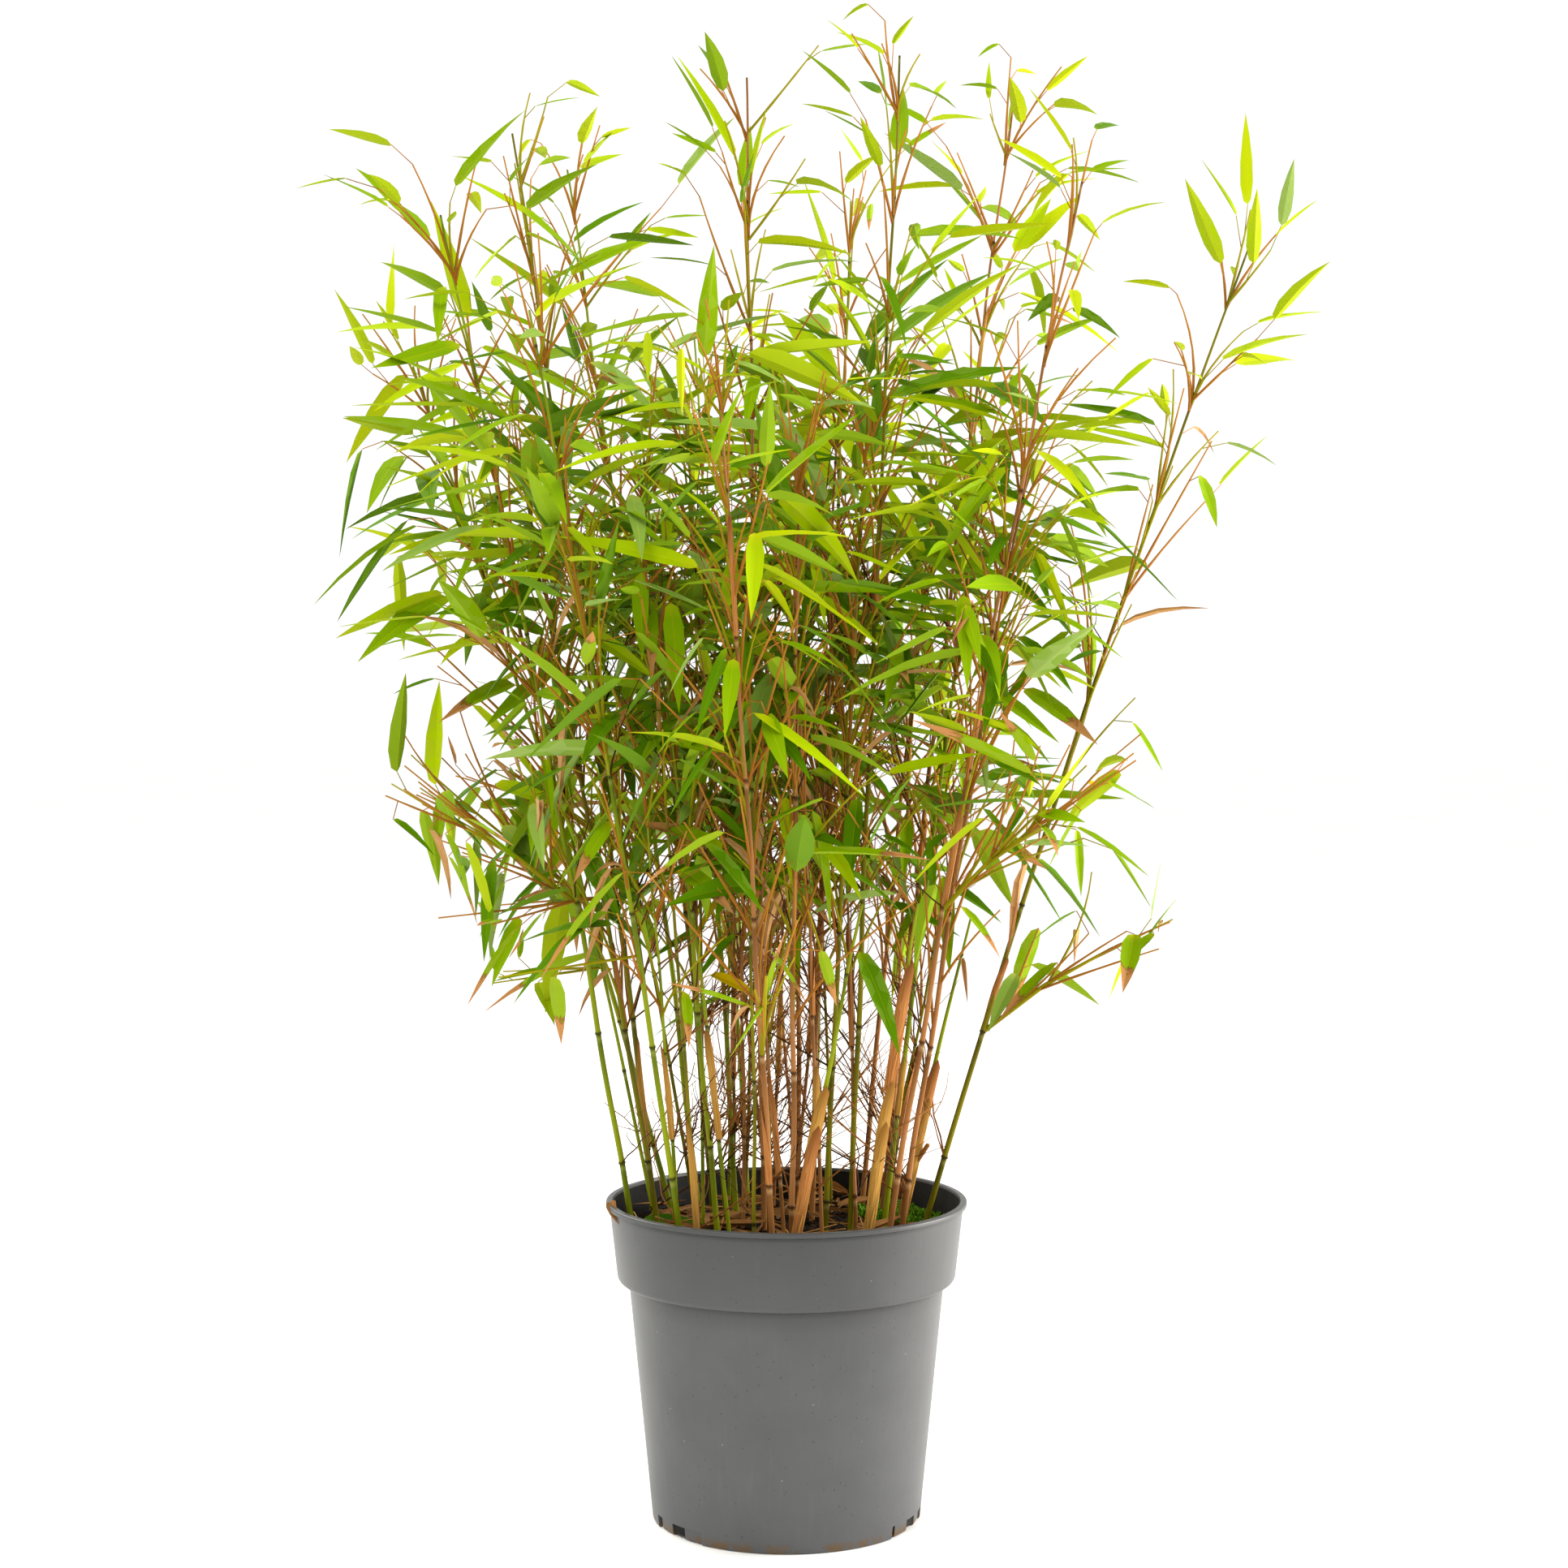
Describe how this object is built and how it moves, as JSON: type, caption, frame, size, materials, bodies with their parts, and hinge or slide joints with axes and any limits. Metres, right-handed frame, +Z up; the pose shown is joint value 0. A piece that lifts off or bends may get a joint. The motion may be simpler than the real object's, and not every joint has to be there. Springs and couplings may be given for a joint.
{
  "type": "potted clump-forming bamboo",
  "caption": "Clump-forming bamboo with fanned green culms and narrow arching leaves, in a round grey nursery pot with a deep collar.",
  "frame": {"origin": "middle of the pot's flat underside, on the ground the pot stands on", "axes": "+Z up along the pot's axis, +X to the right of the front view, front view looks along +Y"},
  "size_m": [0.6321, 0.5383, 0.9472],
  "materials": {
    "pot_plastic": "injection moulded polypropylene, satin grey outside, near black inside",
    "growing_medium": "moist peat-like substrate with dry sheath litter, rough",
    "moss": "soft moss, matt",
    "culm": "living bamboo culm, waxy green to yellow, semi-gloss",
    "leaf": "living bamboo leaf, thin, satin"
  },
  "bodies": {
    "root": {"pot": "pot_plastic", "root_ball": "growing_medium", "moss_patch": "moss", "leader_01": "culm", "leader_02": "culm", "leader_03": "culm", "leader_04": "culm", "leader_05": "culm", "leader_06": "culm", "leader_07": "culm", "leader_08": "culm", "leader_09": "culm", "leader_10": "culm", "leader_11": "culm", "leader_12": "culm", "leader_13": "culm", "culm_01": "culm", "culm_02": "culm", "culm_03": "culm", "culm_04": "culm", "culm_05": "culm", "culm_06": "culm", "culm_07": "culm", "culm_08": "culm", "culm_09": "culm", "culm_10": "culm", "culm_11": "culm", "foliage_leader_01": "leaf", "foliage_leader_02": "leaf", "foliage_leader_03": "leaf", "foliage_leader_04": "leaf", "foliage_leader_05": "leaf", "foliage_leader_06": "leaf", "foliage_leader_07": "leaf", "foliage_leader_08": "leaf", "foliage_leader_09": "leaf", "foliage_leader_10": "leaf", "foliage_leader_11": "leaf", "foliage_leader_12": "leaf", "foliage_leader_13": "leaf", "foliage_culm_01": "leaf", "foliage_culm_02": "leaf", "foliage_culm_03": "leaf", "foliage_culm_04": "leaf", "foliage_culm_05": "leaf", "foliage_culm_06": "leaf", "foliage_culm_07": "leaf", "foliage_culm_08": "leaf", "foliage_culm_09": "leaf", "foliage_culm_10": "leaf", "foliage_culm_11": "leaf", "foliage_low_leader_01": "leaf", "foliage_low_leader_03": "leaf", "foliage_low_leader_07": "leaf", "foliage_low_leader_08": "leaf", "foliage_low_leader_09": "leaf", "foliage_low_leader_10": "leaf", "foliage_low_leader_11": "leaf", "foliage_low_leader_12": "leaf"}
  },
  "joints": []
}
